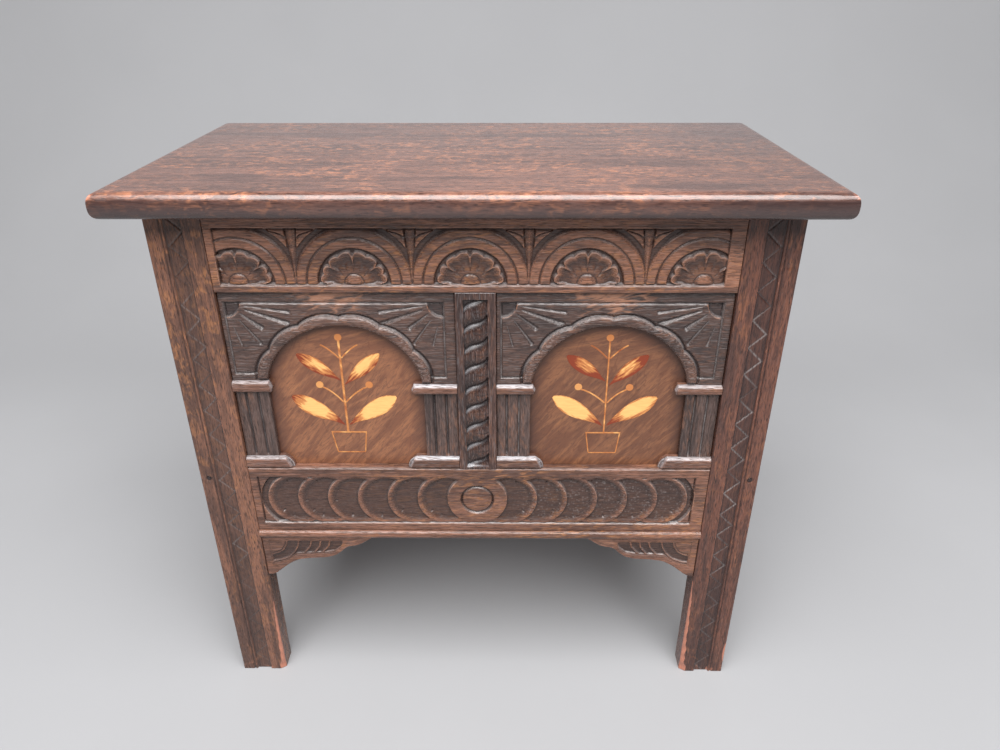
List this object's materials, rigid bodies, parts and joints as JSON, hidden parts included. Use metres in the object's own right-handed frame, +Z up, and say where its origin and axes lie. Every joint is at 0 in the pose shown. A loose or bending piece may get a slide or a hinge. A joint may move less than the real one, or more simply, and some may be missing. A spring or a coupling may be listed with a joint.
{
  "type": "coffer chest",
  "caption": "Joined oak coffer chest on stile legs, with a hinged board lid and a carved front of arcaded panels inlaid with potted plants.",
  "frame": {"origin": "on the floor, under the middle of the chest's bounding box, the hinge knuckles included", "axes": "+X to the right along the front, -Y out of the carved front towards the viewer, +Z up"},
  "size_m": [0.565, 0.3052, 0.5253],
  "materials": {
    "frame_oak": "dark stained quarter-sawn oak, waxed",
    "carved_oak": "dark stained oak, carved, wax in the hollows",
    "lid_oak": "stained quarter-sawn oak, polished, worn orange at the edges",
    "inside_oak": "plain sawn oak, thin stain",
    "panel_walnut": "figured walnut-like wood, waxed",
    "light_inlay": "pale yellow wood, sand-shaded at the leaf ends",
    "hinge_brass": "dull aged brass",
    "pin_steel": "plain steel pin"
  },
  "bodies": {
    "carcase": {"front_stile_left": "frame_oak", "front_stile_right": "frame_oak", "back_stile_left": "frame_oak", "back_stile_right": "frame_oak", "front_top_rail": "frame_oak", "front_lower_rail": "frame_oak", "bead_moulding": "frame_oak", "back_top_rail": "frame_oak", "back_lower_rail": "frame_oak", "side_top_rail_left": "frame_oak", "side_top_rail_right": "frame_oak", "side_lower_rail_left": "frame_oak", "side_lower_rail_right": "frame_oak", "side_panel_left": "frame_oak", "side_panel_right": "frame_oak", "bracket_left": "frame_oak", "bracket_right": "frame_oak", "muntin": "carved_oak", "arch_board_left": "carved_oak", "arch_board_right": "carved_oak", "pilaster_left_outer": "carved_oak", "pilaster_left_inner": "carved_oak", "pilaster_right_outer": "carved_oak", "pilaster_right_inner": "carved_oak", "capital_left_outer": "carved_oak", "capital_left_inner": "carved_oak", "capital_right_outer": "carved_oak", "capital_right_inner": "carved_oak", "base_left_outer": "carved_oak", "base_left_inner": "carved_oak", "base_right_outer": "carved_oak", "base_right_inner": "carved_oak", "peg_left_upper": "carved_oak", "peg_left_lower": "carved_oak", "peg_right_upper": "carved_oak", "peg_right_lower": "carved_oak", "inlaid_panel_left": "panel_walnut", "inlaid_panel_right": "panel_walnut", "plant_inlay_left": "light_inlay", "plant_inlay_right": "light_inlay", "back_panel": "inside_oak", "floor_board_front": "inside_oak", "floor_board_back": "inside_oak", "hinge_frame_leaf_left": "hinge_brass", "hinge_frame_leaf_right": "hinge_brass", "screw_frame_left_1": "hinge_brass", "screw_frame_left_2": "hinge_brass", "screw_frame_right_1": "hinge_brass", "screw_frame_right_2": "hinge_brass", "hinge_pin_left": "pin_steel", "hinge_pin_right": "pin_steel"},
    "lid": {"lid_board": "lid_oak", "hinge_lid_leaf_left": "hinge_brass", "hinge_lid_leaf_right": "hinge_brass", "screw_lid_left_1": "hinge_brass", "screw_lid_left_2": "hinge_brass", "screw_lid_right_1": "hinge_brass", "screw_lid_right_2": "hinge_brass"}
  },
  "joints": [
    {"name": "lid_hinge", "type": "hinge", "parent": "carcase", "child": "lid", "pos_m": [0, 0.1496, 0.50415], "axis": [-1, 0, 0], "range_deg": [0, 105]}
  ]
}
